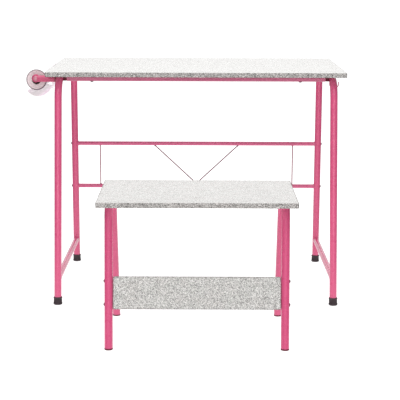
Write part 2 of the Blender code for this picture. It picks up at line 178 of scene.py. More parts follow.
class Net:
    """The node tree of a material or a world, with short calls for the nodes used here."""

    def __init__(self, owner, shader="Principled BSDF", space="Object"):
        owner.use_nodes = True
        self.tree = owner.node_tree
        self.shader = self.tree.nodes[shader]
        self.place = self.add("ShaderNodeTexCoord").outputs[space]

    def feed(self, socket, value):
        """Links another node's socket, or sets a value. A colour is three numbers."""
        if isinstance(value, bpy.types.NodeSocket):
            self.tree.links.new(value, socket)
        else:
            socket.default_value = (*value, 1.0) if socket.type == "RGBA" else value

    def add(self, kind, inputs=(), **settings):
        node = self.tree.nodes.new(kind)
        for key, value in settings.items():
            setattr(node, key, value)
        for key, value in dict(inputs).items():
            self.feed(node.inputs[key], value)
        return node

    def set(self, **inputs):
        for key, value in inputs.items():
            self.feed(self.shader.inputs[key.replace("_", " ")], value)

    def noise(self, scale, detail=2.0, vector=None, rough=0.5, colour=False):
        node = self.add("ShaderNodeTexNoise", {"Vector": vector or self.place, "Scale": scale,
                                               "Detail": detail, "Roughness": rough})
        return node.outputs["Color" if colour else "Fac"]

    def cells(self, size, vector):
        """One random value for each Voronoi cell."""
        cell = self.add("ShaderNodeTexVoronoi", {"Vector": vector, "Scale": 1 / size})
        return self.add("ShaderNodeSeparateColor", {"Color": cell.outputs["Color"]}).outputs["Red"]

    def part(self, letter, vector=None):
        return self.add("ShaderNodeSeparateXYZ", {"Vector": vector or self.place}).outputs[letter]

    def fill(self, node, values, output=0):
        """Feeds a node's inputs in order, and gives an output."""
        for socket, value in zip(node.inputs, values):
            self.feed(socket, value)
        return node.outputs[output]

    def calc(self, operation, *values, clamp=False):
        node = self.add("ShaderNodeMath", operation=operation, use_clamp=clamp)
        return self.fill(node, values)

    def times(self, a, b):
        return self.calc("MULTIPLY", a, b)

    def vector(self, operation, *values, output="Vector"):
        return self.fill(self.add("ShaderNodeVectorMath", operation=operation), values, output)

    def dot(self, a, b):
        return self.vector("DOT_PRODUCT", a, b, output="Value")

    def ramp(self, fac, low, high, start=0.0, end=1.0):
        """Smooth step from start to end as fac goes from low to high."""
        node = self.add("ShaderNodeMapRange", interpolation_type="SMOOTHSTEP")
        return self.fill(node, (fac, low, high, start, end))

    def mix(self, fac, a, b, blend="MIX"):
        node = self.add("ShaderNodeMix", data_type="RGBA", blend_type=blend)
        self.feed(node.inputs[0], fac)
        self.feed(node.inputs[6], a)
        self.feed(node.inputs[7], b)
        return node.outputs[2]

    def blend(self, fac, a, b):
        """A mix of two plain numbers."""
        node = self.add("ShaderNodeMix")
        self.feed(node.inputs[0], fac)
        self.feed(node.inputs[2], a)
        self.feed(node.inputs[3], b)
        return node.outputs[0]

    def to_camera(self, others):
        """1 to the camera, and what is given to every other ray."""
        return self.blend(self.add("ShaderNodeLightPath").outputs["Is Camera Ray"], others, 1.0)

    def wear(self):
        return self.add("ShaderNodeAttribute", attribute_name="edge").outputs["Fac"]

    def bump(self, height, distance, strength=1.0, normal=None):
        inputs = {"Height": height, "Distance": distance, "Strength": strength}
        if normal:
            inputs["Normal"] = normal
        return self.add("ShaderNodeBump", inputs).outputs["Normal"]


def new_material(name):
    material = bpy.data.materials.new(name)
    return material, Net(material)


# ---------------- materials

def paint(name, colour, shade, seam_shade=None, gloss=1.0):
    """Glossy powder coat: faint orange peel, slow tone changes, scuffs low down near the feet.

    The fourth argument is (place, axis, low, high): between those distances the paint turns to
    painted shade, a dark shadow seam where two parts meet.
    """
    material, net = new_material(name)
    slow = net.noise(5.0, 3.0)
    fine = net.noise(900.0, 2.0)
    peel = net.noise(420.0, 1.0)
    tone = net.mix(net.ramp(slow, 0.3, 0.7), colour, shade)
    low_down = net.ramp(net.part("Z"), 0.02, 0.20, 1.0, 0.15)
    scratch = net.noise(70.0, 6.0, net.vector("MULTIPLY", net.place, (1.0, 1.0, 7.0)), 0.7)
    scuff = net.times(net.ramp(scratch, 0.66, 0.74), low_down)
    rubbed = net.times(net.wear(), net.ramp(net.noise(260.0, 3.0), 0.45, 0.62))
    tone = net.mix(net.times(scuff, 0.35), tone, (colour[0] * 0.62, 0.07, 0.12))
    tone = net.mix(net.times(rubbed, 0.35), tone, (0.40, 0.09, 0.14))
    # Painted shade: between the given distances the paint turns dark, as a shadow seam where two
    # parts meet.
    if seam_shade:
        place, axis, low, high = seam_shade
        away = net.dot(net.vector("SUBTRACT", net.place, place), axis)
        tone = net.mix(net.ramp(away, low, high), tone, (0.170, 0.006, 0.026))
    matt = 0.20 * (1.0 - gloss)
    rough = net.ramp(net.noise(38.0, 4.0), 0.3, 0.7, 0.24 + matt, 0.34 + matt)
    rough = net.calc("ADD", rough, net.times(scuff, 0.2), clamp=True)
    normal = net.bump(peel, 0.000022, 0.7)
    normal = net.bump(fine, 0.000006, 0.6, normal)
    net.set(Base_Color=tone, Roughness=rough, Normal=normal, IOR=1.50, Coat_Weight=0.35 * gloss,
            Coat_Roughness=0.16)
    return material


def laminate(name, base, dark, light, grain, rough):
    """Melamine print of fine dark and white chips on pale grey. grain is a chip's size."""
    material, net = new_material(name)
    shaken = net.vector("SUBTRACT", net.noise(900.0, colour=True), (0.5, 0.5, 0.5))
    place = net.vector("MULTIPLY_ADD", shaken, [grain * 0.8] * 3, net.place)
    chips = net.cells(grain, place)
    specks = net.cells(grain * 0.62, place)
    pepper = net.cells(grain * 0.40, place)
    cloud = net.noise(22.0, 4.0)
    patch = net.noise(9.0, 2.0)
    tint = net.mix(net.ramp(cloud, 0.38, 0.62), (1.0, 0.975, 0.965), (0.965, 1.0, 0.975))
    colour = net.mix(1.0, base, tint, "MULTIPLY")
    colour = net.mix(net.ramp(patch, 0.30, 0.70, 0.0, 0.05), colour, dark)
    colour = net.mix(net.ramp(chips, 0.62, 0.66), colour, light)
    colour = net.mix(net.ramp(specks, 0.76, 0.79), colour, light)
    colour = net.mix(net.ramp(specks, 0.23, 0.20), colour, dark)
    colour = net.mix(net.ramp(chips, 0.20, 0.17), colour, dark)
    colour = net.mix(net.ramp(pepper, 0.11, 0.09, 0.0, 0.8), colour, [c * 0.45 for c in dark])
    worn = net.times(net.wear(), net.ramp(net.noise(180.0, 4.0, rough=0.7), 0.58, 0.70))
    colour = net.mix(net.times(worn, 0.45), colour, (0.62, 0.55, 0.46))
    roughness = net.ramp(net.noise(60.0, 3.0), 0.3, 0.7, rough - 0.05, rough + 0.07)
    normal = net.bump(net.noise(1400.0, 2.0), 0.000008, 0.6)
    net.set(Base_Color=colour, Roughness=roughness, Normal=normal)
    return material


def rubber(name, colour, dusty, rough):
    """Moulded dark rubber or plastic with fine grain and a little dust."""
    material, net = new_material(name)
    dust = net.ramp(net.noise(85.0, 5.0, rough=0.65), 0.45, 0.72)
    low_down = net.ramp(net.part("Z"), 0.0, 0.010, 0.8, 0.25)
    edge = net.times(net.wear(), 0.5)
    share = net.calc("ADD", net.times(dust, low_down), edge, clamp=True)
    net.set(Base_Color=net.mix(share, colour, dusty),
            Roughness=net.ramp(dust, 0.0, 1.0, rough, rough + 0.15), Specular_IOR_Level=0.25,
            Normal=net.bump(net.noise(1100.0, 3.0), 0.00006, 0.8))
    return material


def plated_steel():
    """Dark plated screw and bolt heads, brighter where a driver has rubbed the recess."""
    material, net = new_material("dark_plated_steel_look")
    cloud = net.noise(240.0, 4.0)
    brushed = net.noise(900.0, 2.0, net.vector("MULTIPLY", net.place, (1.0, 1.0, 6.0)))
    colour = net.mix(net.ramp(cloud, 0.35, 0.65), (0.16, 0.11, 0.13), (0.26, 0.19, 0.21))
    bright = net.times(net.wear(), net.ramp(brushed, 0.35, 0.6))
    net.set(Base_Color=net.mix(bright, colour, (0.52, 0.46, 0.47)), Metallic=0.85,
            Roughness=net.ramp(brushed, 0.3, 0.7, 0.28, 0.42),
            Normal=net.bump(brushed, 0.00002, 0.6))
    return material


def from_axis(net, centre):
    """Distance from an axis along Y through the centre."""
    offset = net.vector("SUBTRACT", net.place, tuple(centre))
    offset = net.vector("MULTIPLY", offset, (1.0, 0.0, 1.0))
    return net.vector("LENGTH", offset, output="Value")


def wound_ends():
    """The roll's end faces: hundreds of cut edges, as rings of slightly different grey, with
    painted reflection, painted shade and a painted shadow round the rim.
    """
    material, net = new_material("white_paper_ends")
    radius = from_axis(net, ROLL)
    line = net.add("ShaderNodeCombineXYZ", {"X": radius}).outputs[0]
    rings = net.noise(2600.0, 3.0, line, 0.7)
    bands = net.noise(420.0, 2.0, line)
    # The cut edges are tinted pink and kept darker than the paper: a painted reflection of the pink
    # frame, and painted shade between the layers.
    colour = net.mix(net.ramp(rings, 0.35, 0.65), (0.64, 0.53, 0.545), (0.77, 0.68, 0.69))
    colour = net.mix(net.ramp(bands, 0.40, 0.62, 0.0, 0.5), colour, (0.60, 0.50, 0.52))
    # Painted shade round the rim of the end face.
    rim_shade = net.ramp(radius, ROLL_R - 0.0034, ROLL_R - 0.0020)
    colour = net.mix(rim_shade, colour, (0.27, 0.22, 0.235))
    # Painted shade on the low side of the rim, towards the loose sheet.
    offset = net.vector("SUBTRACT", net.place, tuple(ROLL))
    low_side = net.dot(offset, (0.55 / ROLL_R, 0.0, -0.83 / ROLL_R))
    outer = net.ramp(radius, ROLL_R * 0.86, ROLL_R * 0.96)
    shade = net.times(net.ramp(low_side, 0.45, 0.95), outer)
    colour = net.mix(shade, colour, (0.115, 0.070, 0.105))
    net.set(Base_Color=colour, Roughness=0.85, Normal=net.bump(rings, 0.0002, 0.8))
    return material


def paper(name, colour, shade, through=0.0):
    """Plain drawing paper: soft fibre cloud, fine tooth and faint handling creases.

    A sheet that lets light through is also painted lilac, then grey, towards its free end low under
    the roll: painted shade from the roll and a painted reflection of the pink frame. It glows
    faintly as well, a painted light for what passes through it.
    """
    material, net = new_material(name)
    fibre = net.noise(650.0, 5.0, net.vector("MULTIPLY", net.place, (1.0, 0.35, 1.0)), 0.65)
    cloud = net.noise(30.0, 3.0)
    crease = net.noise(14.0, 1.0, net.vector("MULTIPLY", net.place, (1.0, 2.2, 1.0)))
    tone = net.mix(net.ramp(cloud, 0.3, 0.7), colour, shade)
    tone = net.mix(net.ramp(fibre, 0.55, 0.75, 0.0, 0.25), tone, [c * 0.93 for c in shade])
    normal = net.bump(crease, 0.0006, 0.35)
    normal = net.bump(fibre, 0.00005, 0.8, normal)
    net.set(Base_Color=tone, Roughness=net.ramp(fibre, 0.3, 0.7, 0.68, 0.82), Normal=normal)
    if through:
        # Painted shade and painted reflection: the sheet turns lilac, then grey, further down under
        # the roll.
        drop = net.dot(net.vector("SUBTRACT", net.place, tuple(ROLL)), (-0.35, 0.0, -0.94))
        tone = net.mix(net.ramp(drop, 0.012, 0.038), tone, (0.925, 0.865, 0.905))
        tone = net.mix(net.ramp(drop, 0.042, 0.051), tone, (0.820, 0.800, 0.800))
        # Painted light: a faint glow standing in for light that passes through the sheet.
        net.set(Base_Color=tone, Emission_Color=tone, Emission_Strength=0.24)
        glow = net.add("ShaderNodeBsdfTranslucent", {"Color": tone})
        blend = net.add("ShaderNodeMixShader", {"Fac": through})
        net.feed(blend.inputs[1], net.shader.outputs[0])
        net.feed(blend.inputs[2], glow.outputs[0])
        net.feed(net.tree.nodes["Material Output"].inputs["Surface"], blend.outputs[0])
    return material


def cardboard():
    """The core: spiral-wound grey board, with painted shade turning the bore's wall near black."""
    material, net = new_material("grey_cardboard_look")
    offset = net.vector("SUBTRACT", net.place, tuple(ROLL))
    turn = net.calc("ARCTAN2", net.part("Z", offset), net.part("X", offset))
    along = net.times(net.part("Y", offset), 1 / SPIRAL_PITCH)
    phase = net.calc("FRACT", net.calc("ADD", along, net.calc("DIVIDE", turn, math.tau)))
    seam = net.ramp(net.calc("ABSOLUTE", net.calc("SUBTRACT", phase, 0.5)), 0.012, 0.03, 1.0, 0.0)
    fibre = net.noise(420.0, 5.0, rough=0.7)
    fleck = net.ramp(fibre, 0.35, 0.65)
    colour = net.mix(fleck, (0.115, 0.070, 0.066), (0.190, 0.125, 0.115))
    colour = net.mix(net.times(seam, 0.7), colour, (0.060, 0.036, 0.034))
    # Painted shade: the bore's wall turns near black, as deep inside a tube.
    inside = net.ramp(from_axis(net, ROLL), CORE_IN_R + 0.0002, CORE_IN_R + 0.0006, 1.0, 0.0)
    colour = net.mix(inside, colour, (0.004, 0.001, 0.002))
    height = net.calc("SUBTRACT", fibre, net.times(seam, 2.0))
    net.set(Base_Color=colour, Roughness=0.85, Normal=net.bump(height, 0.00015, 0.7))
    return material


PINK = paint("pink_paint_look", (0.650, 0.080, 0.206), (0.620, 0.074, 0.193))
# A darker copy of the pink paint for the rear rails: painted shade on horizontal tubes under the
# desk top.
PINK_RAIL_SHADED = paint("pink_paint_rail_look", (0.590, 0.090, 0.212), (0.560, 0.084, 0.200))
# Dark plum copies of the pink paint for the thin truss wires: painted shade, so the pink wires read
# as shaded.
POST_WIRE_SHADED = paint("pink_paint_post_look", (0.330, 0.085, 0.125), (0.300, 0.078, 0.115), gloss=0.5)
V_WIRE_SHADED = paint("pink_paint_wire_look", (0.190, 0.038, 0.070), (0.170, 0.034, 0.063), gloss=0.5)
# A darker copy of the pink paint for the apron rail: painted shade under the desk top's front edge.
PINK_APRON_SHADED = paint("pink_paint_apron_look", (0.435, 0.080, 0.168), (0.405, 0.074, 0.156), gloss=0.6)
FACE = laminate("laminate_face", (0.575, 0.563, 0.544), (0.260, 0.254, 0.245),
                (0.780, 0.762, 0.746), 0.0019, 0.30)
# The tops' chips are painted fainter than the front board's: a painted sheen, standing in for the
# reflection that washes the print out on a top seen from low down.
TOP = laminate("laminate_top_face", (0.575, 0.566, 0.550), (0.400, 0.394, 0.384),
               (0.680, 0.670, 0.655), 0.0021, 0.25)
BAND = laminate("laminate_edge_band", (0.335, 0.320, 0.309), (0.090, 0.083, 0.080),
                (0.600, 0.572, 0.556), 0.0017, 0.36)
UNDER = laminate("laminate_underside", (0.640, 0.638, 0.620), (0.520, 0.520, 0.505),
                 (0.700, 0.698, 0.680), 0.0042, 0.50)
RUBBER = rubber("black_rubber_look", (0.034, 0.023, 0.027), (0.078, 0.058, 0.063), 0.52)
# The black plastic is tinted maroon: a painted reflection of the pink frame around it.
PLASTIC = rubber("black_plastic_look", (0.125, 0.010, 0.024), (0.150, 0.024, 0.040), 0.50)
STEEL = plated_steel()
ROLL_ENDS = wound_ends()
PAPER = paper("white_paper_look", (0.880, 0.865, 0.880), (0.850, 0.830, 0.850))
SHEET = paper("white_paper_sheet", (0.990, 0.980, 0.990), (0.985, 0.970, 0.982), 0.62)
# A darker copy of the pink paint for the roll arms: painted shade from the desk top above them.
ARM_SHADED_COLOURS = ((0.475, 0.052, 0.138), (0.440, 0.047, 0.127))
ROD_CAP = paint("pink_paint_cap_look", (0.520, 0.200, 0.260), (0.480, 0.180, 0.240), gloss=0.4)
CARD = cardboard()


# ---------------- mesh helpers

def add_object(name, data):
    obj = bpy.data.objects.new(name, data)
    bpy.context.scene.collection.objects.link(obj)
    return obj


def piece(bm, node, body, materials, angle=32.0):
    """The shown piece for a CAD node, from a bmesh that is already in place."""
    name = f"{node}_fine"
    bmesh.ops.recalc_face_normals(bm, faces=bm.faces)
    mesh = bpy.data.meshes.new(name)
    bm.to_mesh(mesh)
    bm.free()
    for material in materials:
        mesh.materials.append(material)
    mesh.polygons.foreach_set("use_smooth", [True] * len(mesh.polygons))
    mesh.set_sharp_from_angle(angle=math.radians(angle))
    obj = add_object(name, mesh)
    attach(obj, body)
    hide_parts(node)


def edge_layer(bm):
    """The share of wear at each vertex, which the materials read as "edge"."""
    return bm.verts.layers.float.get("edge") or bm.verts.layers.float.new("edge")


def new_mesh():
    bm = bmesh.new()
    edge_layer(bm)
    return bm


def new_cube(bm):
    return bmesh.ops.create_cube(bm, size=1.0)["verts"]


def bevel(bm, verts, offset, segments, profile=0.0):
    edges = list({e for v in verts for e in v.link_edges})
    bmesh.ops.bevel(bm, geom=edges, offset=offset, segments=segments, profile=profile,
                    affect="EDGES")


def loop_of(bm, centre, across, up, radii, sides):
    found = []
    for k in range(sides):
        turn = math.tau * k / sides
        offset = radii[0] * math.cos(turn) * across + radii[1] * math.sin(turn) * up
        found.append(bm.verts.new(centre + offset))
    return found


def bridge(bm, first, second, material=0):
    count = len(first)
    for k in range(count):
        after = (k + 1) % count
        face = bm.faces.new((first[k], first[after], second[after], second[k]))
        face.material_index = material


def fan(bm, loop):
    """Closes a loop with triangles round its middle."""
    centre = bm.verts.new(sum((v.co for v in loop), Vector()) / len(loop))
    for k in range(len(loop)):
        bm.faces.new((loop[k], loop[(k + 1) % len(loop)], centre))


def frames_along(points, across):
    """A tangent and two steady cross directions at each point of a path."""
    count = len(points)
    found = []
    for i, point in enumerate(points):
        before = points[i] - points[max(i - 1, 0)]
        after = points[min(i + 1, count - 1)] - points[i]
        along = (before.normalized() + after.normalized()).normalized()
        across = (across - along * across.dot(along)).normalized()
        found.append((point, along, across, along.cross(across)))
    return found


def sweep(bm, points, radii, sides, level_ends=False):
    """A closed rod along a path. radii is one number, or an (across, up) pair for each point."""
    points = [Vector(p) for p in points]
    if not isinstance(radii, list):
        radii = [(radii, radii)] * len(points)
    start = (points[1] - points[0]).normalized()
    across = RIGHT if abs(start.x) < 0.7 else UP
    loops = []
    for (point, along, side, up), pair in zip(frames_along(points, across), radii):
        loops.append((loop_of(bm, point, side, up, pair, sides), along, point))
    if level_ends:
        for verts, along, point in (loops[0], loops[-1]):
            for vert in verts:
                vert.co += along * ((point.z - vert.co.z) / along.z)
    for (first, _, _), (second, _, _) in zip(loops, loops[1:]):
        bridge(bm, first, second)
    fan(bm, loops[0][0])
    fan(bm, loops[-1][0])


def bent_path(corners, radius, steps):
    """A path with its inner corners rounded, and each point's share of bend, 0 to 1 to 0."""
    corners = [Vector(c) for c in corners]
    path = [corners[0]]
    bend = [0.0]
    for before, corner, after in zip(corners, corners[1:], corners[2:]):
        into = (before - corner).normalized()
        out = (after - corner).normalized()
        half = into.angle(out) / 2
        reach = radius / math.tan(half)
        centre = corner + (into + out).normalized() * (radius / math.sin(half))
        first = corner + into * reach - centre
        last = corner + out * reach - centre
        axis = first.cross(last).normalized()
        turn = first.angle(last)
        for k in range(steps + 1):
            path.append(centre + Matrix.Rotation(turn * k / steps, 3, axis) @ first)
            bend.append(math.sin(math.pi * k / steps))
    path.append(corners[-1])
    bend.append(0.0)
    return path, bend


def oval(radius, bend):
    """Tube radii that flatten a little through a bend, as a real bent tube does."""
    return [(radius * (1 + BEND_FLAT * 0.5 * b), radius * (1 - BEND_FLAT * b)) for b in bend]


def crosswise(axis, usual, other):
    """Two directions across an axis, from the usual one unless the axis lies close to it."""
    side = usual if abs(axis.dot(usual)) < 0.7 else other
    across = (side - axis * side.dot(axis)).normalized()
    return across, axis.cross(across)


def lathe(bm, profile, axis, base, sides, edges=(), centre_of=None):
    """A turned solid. profile holds (distance along the axis, radius); edges are the worn corners.

    centre_of gives the centre at a distance, for an axis that leans, and then base isn't used.
    """
    axis = Vector(axis).normalized()
    across, up = crosswise(axis, UP, RIGHT)
    worn = edge_layer(bm)
    loops = []
    for i, (distance, radius) in enumerate(profile):
        centre = centre_of(distance) if centre_of else Vector(base) + axis * distance
        loop = loop_of(bm, centre, across, up, (radius, radius), sides)
        for vert in loop:
            vert[worn] = 1.0 if i in edges else 0.0
        loops.append(loop)
    for first, second in zip(loops, loops[1:]):
        bridge(bm, first, second)
    fan(bm, loops[0])
    fan(bm, loops[-1])


def outline(half_x, half_y, inset):
    """A rounded rectangle's points, counter-clockwise, pulled in by inset."""
    found = []
    reach = BOARD_CORNER - inset
    for quarter, (sx, sy) in enumerate(QUARTERS):
        for k in range(CORNER_STEPS + 1):
            turn = math.tau * (quarter + k / CORNER_STEPS) / 4
            found.append((sx * (half_x - BOARD_CORNER) + reach * math.cos(turn),
                          sy * (half_y - BOARD_CORNER) + reach * math.sin(turn)))
    return found


def fill_outline(bm, loop, half_x, half_y, z, material):
    """Fills a rounded rectangle with a middle quad, four side quads and corner fans."""
    hubs = [bm.verts.new((sx * (half_x - BOARD_CORNER), sy * (half_y - BOARD_CORNER), z))
            for sx, sy in QUARTERS]
    faces = [hubs]
    count = CORNER_STEPS + 1
    for quarter in range(4):
        arc = loop[quarter * count:(quarter + 1) * count]
        for first, second in zip(arc, arc[1:]):
            faces.append((hubs[quarter], first, second))
        following = (quarter + 1) % 4
        faces.append((hubs[quarter], arc[-1], loop[following * count], hubs[following]))
    for verts in faces:
        face = bm.faces.new(verts)
        face.material_index = material


def board(half_x, half_y, thick):
    """A laminated board about its own middle: face, seam, rounded edge band, seam, underside."""
    bm = bmesh.new()
    worn = edge_layer(bm)
    half = thick / 2
    rounds = [(half - EDGE_ROUND * (1 - math.cos(a)), EDGE_ROUND * (1 - math.sin(a)))
              for a in [math.pi / 2 * k / 5 for k in range(6)]]
    top = [(half, SEAM_IN + SEAM_W, 0.0), (half - SEAM_D, SEAM_IN + SEAM_W / 2, 0.3),
           (half, SEAM_IN, 0.5)]
    top += [(z, inset, 1.0) for z, inset in rounds]
    layers = top + [(half - EDGE_ROUND - 0.0015, 0.0, 0.0)]
    layers += [(-z, inset, wear) for z, inset, wear in reversed(layers)]
    loops = []
    for z, inset, wear in layers:
        loop = [bm.verts.new((x, y, z)) for x, y in outline(half_x, half_y, inset)]
        for vert in loop:
            vert[worn] = wear
        loops.append(loop)
    for first, second in zip(loops, loops[1:]):
        bridge(bm, first, second, 1)
    fill_outline(bm, loops[0], half_x, half_y, half, 0)
    fill_outline(bm, loops[-1], half_x, half_y, -half, 2)
    return bm


def shift(bm, offset):
    bmesh.ops.translate(bm, vec=offset, verts=bm.verts)


def flat_board(node, body):
    size = span(node)
    bm = board(size.x / 2, size.y / 2, size.z)
    shift(bm, middle(node))
    piece(bm, node, body, [TOP, BAND, UNDER])


def weld(bm, branch, direction, branch_r, trunk, trunk_dir, trunk_r, bead=0.0016, seed=0):
    """A painted weld bead where a branch tube meets a trunk tube."""
    direction = Vector(direction).normalized()
    trunk_dir = Vector(trunk_dir).normalized()
    across, up = crosswise(direction, RIGHT, UP)
    draw = random.Random(seed)
    start = draw.random() * math.tau
    count = 84
    path = []
    for k in range(count):
        turn = start + math.tau * k / count
        out = math.cos(turn) * across + math.sin(turn) * up
        point = Vector(branch) + branch_r * out
        gap = point - Vector(trunk)
        a = direction - trunk_dir * direction.dot(trunk_dir)
        b = gap - trunk_dir * gap.dot(trunk_dir)
        half_b = a.dot(b)
        rest = half_b * half_b - a.dot(a) * (b.dot(b) - trunk_r * trunk_r)
        along = (-half_b - math.sqrt(max(rest, 0.0))) / a.dot(a)
        path.append((point + direction * along, out))
    loops = []
    for k, (point, out) in enumerate(path):
        tangent = (path[(k + 1) % count][0] - path[k - 1][0]).normalized()
        out = (out - tangent * out.dot(tangent)).normalized()
        ripple = 1.0 + 0.16 * math.sin(math.tau * k / 7.0) + 0.10 * (draw.random() - 0.5)
        radii = (bead * ripple, bead * ripple)
        loops.append(loop_of(bm, point, out, tangent.cross(out), radii, 10))
    for k in range(count):
        bridge(bm, loops[k], loops[(k + 1) % count])


def dot_weld(bm, centre, radius, seed):
    """A small lumpy weld spot."""
    made = bmesh.ops.create_icosphere(bm, subdivisions=3, radius=1.0)
    for vert in made["verts"]:
        push = 1.0 + 0.22 * noise.noise(vert.co * 1.7 + Vector((seed, 0, 0)))
        vert.co = Vector(centre) + vert.co * radius * push


def cut(base, cutter):
    """The exact Boolean difference of two closed bmeshes, which lie at the origin."""
    pair = []
    for bm in (base, cutter):
        bmesh.ops.recalc_face_normals(bm, faces=bm.faces)
        mesh = bpy.data.meshes.new("working")
        bm.to_mesh(mesh)
        bm.free()
        pair.append(add_object("working", mesh))
    modifier = pair[0].modifiers.new("cut", "BOOLEAN")
    modifier.object = pair[1]
    modifier.operation = "DIFFERENCE"
    modifier.solver = "EXACT"
    modifier.use_self = True
    graph = bpy.context.evaluated_depsgraph_get()
    made = bmesh.new()
    made.from_mesh(pair[0].evaluated_get(graph).to_mesh())
    for obj in pair:
        mesh = obj.data
        bpy.data.objects.remove(obj, do_unlink=True)
        bpy.data.meshes.remove(mesh)
    if not made.faces:
        raise RuntimeError("a Boolean left nothing")
    return made


# ---------------- legs and frames

def leg_line(origin, foot_x, foot_y, knee_x, knee_y, run_z):
    """A call that gives a leg's centre at a height, for a side (-1, 1) and front or rear (0, 1)."""
    def leg(side, rear, z):
        foot = Vector((foot_x[rear], foot_y[rear], 0))
        point = foot.lerp(Vector((knee_x[rear], knee_y[rear], run_z)), z / run_z)
        return origin + Vector((side * point.x, point.y, z))

    return leg


desk_leg = leg_line(DESK, DESK_FOOT_X, DESK_FOOT_Y, DESK_KNEE_X, DESK_KNEE_Y, DESK_RUN_Z)
bench_leg = leg_line(BENCH, BENCH_FOOT_X, BENCH_FOOT_Y, BENCH_KNEE_X, BENCH_KNEE_Y, BENCH_RUN_Z)


def run_point(leg, side, y, z_run):
    """The point of a side frame's top run at a distance from front to rear."""
    front = leg(side, 0, z_run)
    rear = leg(side, 1, z_run)
    return front.lerp(rear, (y - front.y) / (rear.y - front.y))


def side_frame(name, leg, side, foot_z, run_z, radius, bend_r, body, level):
    bm = new_mesh()
    corners = [leg(side, rear, z) for rear, z in ((0, foot_z), (0, run_z), (1, run_z), (1, foot_z))]
    path, bend = bent_path(corners, bend_r, 28)
    sweep(bm, path, oval(radius, bend), 48, level_ends=level)
    piece(bm, name, body, [PINK])


# ---------------- desk

def foot_cap(name, leg, side, rear):
    """A pushed-on rubber cap: flared foot, drafted wall, rolled lip and a socket for the leg."""
    bm = bmesh.new()
    inner = DESK_TUBE_R + GAP
    profile = [(0.0, CAP_R - 0.0034), (0.0004, CAP_R - 0.0018), (0.0013, CAP_R - 0.0006),
               (0.0026, CAP_R), (0.0052, CAP_R), (0.0062, CAP_R - 0.0005),
               (0.0070, CAP_R - 0.0008), (0.0190, CAP_R - 0.0011), (0.0197, CAP_R - 0.0008),
               (0.0205, CAP_R - 0.0003), (0.0216, CAP_R - 0.0001), (0.0228, CAP_R - 0.0004),
               (0.0237, CAP_R - 0.0010), (CAP_H, CAP_R - 0.0018), (0.0238, inner + 0.0004),
               (0.0232, inner), (CAP_FLOOR + 0.004, inner)]
    lathe(bm, profile, UP, None, 56, edges=(3, 10, 11), centre_of=lambda z: leg(side, rear, z))
    piece(bm, name, "desk", [RUBBER], 40)


def desk_sides():
    for side, word in SIDES:
        side_frame(f"desk_side_frame_{word}", desk_leg, side, CAP_FLOOR + GAP, DESK_RUN_Z,
                   DESK_TUBE_R, DESK_BEND_R, "desk", False)
        ends = [desk_leg(side, rear, STRETCHER_Z) for rear in (0, 1)]
        along = (ends[1] - ends[0]).normalized()
        bm = new_mesh()
        wall = DESK_TUBE_R - WALL_IN
        sweep(bm, [ends[0] + along * wall, ends[1] - along * wall], STRETCHER_R, 44)
        for rear, way in ((0, -1), (1, 1)):
            trunk_dir = desk_leg(side, rear, 0.2) - desk_leg(side, rear, 0.0)
            weld(bm, ends[rear] - along * way * WELD_FROM, along * way, STRETCHER_R, ends[rear],
                 trunk_dir, DESK_TUBE_R, seed=11 + 3 * side + rear)
        piece(bm, f"desk_stretcher_{word}", "desk", [PINK])
        for rear, place in ENDS:
            foot_cap(f"desk_foot_cap_{place}_{word}", desk_leg, side, rear)


def cross_cutter(size, depth, axis, base):
    """A tapered cross that cuts a driver recess."""
    bm = bmesh.new()
    for long, thin in ((size, size * 0.26), (size * 0.26, size)):
        for vert in new_cube(bm):
            taper = 0.55 if vert.co.z < 0 else 1.15
            vert.co = Vector((vert.co.x * 2 * long * taper, vert.co.y * 2 * thin * taper,
                              depth * 0.25 if vert.co.z > 0 else -depth))
    turn = UP.rotation_difference(Vector(axis)).to_matrix().to_4x4()
    bmesh.ops.transform(bm, matrix=Matrix.Translation(base) @ turn, verts=bm.verts)
    return bm


def screw_head(name, centre, body):
    """A cross-recess pan head on a thin washer, seen from below."""
    bm = bmesh.new()
    height = SCREW_HEAD_H
    r = SCREW_HEAD_R
    profile = [(0.0, r * 0.99), (0.0004, r), (0.0006, r * 0.99), (0.00065, r * 0.84),
               (0.0010, r * 0.86), (height * 0.55, r * 0.82), (height * 0.75, r * 0.70),
               (height * 0.90, r * 0.48), (height * 0.97, r * 0.30), (height, r * 0.12)]
    axis = Vector((0, 0, -1))
    lathe(bm, profile, axis, Vector(), 40, edges=(1, 7, 8))
    bm = cut(bm, cross_cutter(r * 0.42, height * 0.62, axis, axis * height))
    shift(bm, centre)
    piece(bm, name, body, [STEEL], 28)


def bolt_head(name, point, side, tube_r, body):
    """A domed bolt head with a six-sided socket on a leg's outer side."""
    bm = bmesh.new()
    axis = Vector((side, 0, 0))
    height = BOLT_HEAD_H
    r = BOLT_HEAD_R
    profile = [(0.0, r * 0.94), (0.0003, r * 0.99), (0.0007, r), (height * 0.45, r * 0.93),
               (height * 0.70, r * 0.78), (height * 0.88, r * 0.58), (height * 0.97, r * 0.40),
               (height, r * 0.22)]
    lathe(bm, profile, axis, Vector(), 40, edges=(5, 6))
    cutter = bmesh.new()
    lathe(cutter, [(height * 0.40, r * 0.36), (height * 1.3, r * 0.36)], axis, Vector(), 6)
    bm = cut(bm, cutter)
    shift(bm, point + axis * (tube_r - BOLT_SUNK))
    piece(bm, name, body, [STEEL], 28)


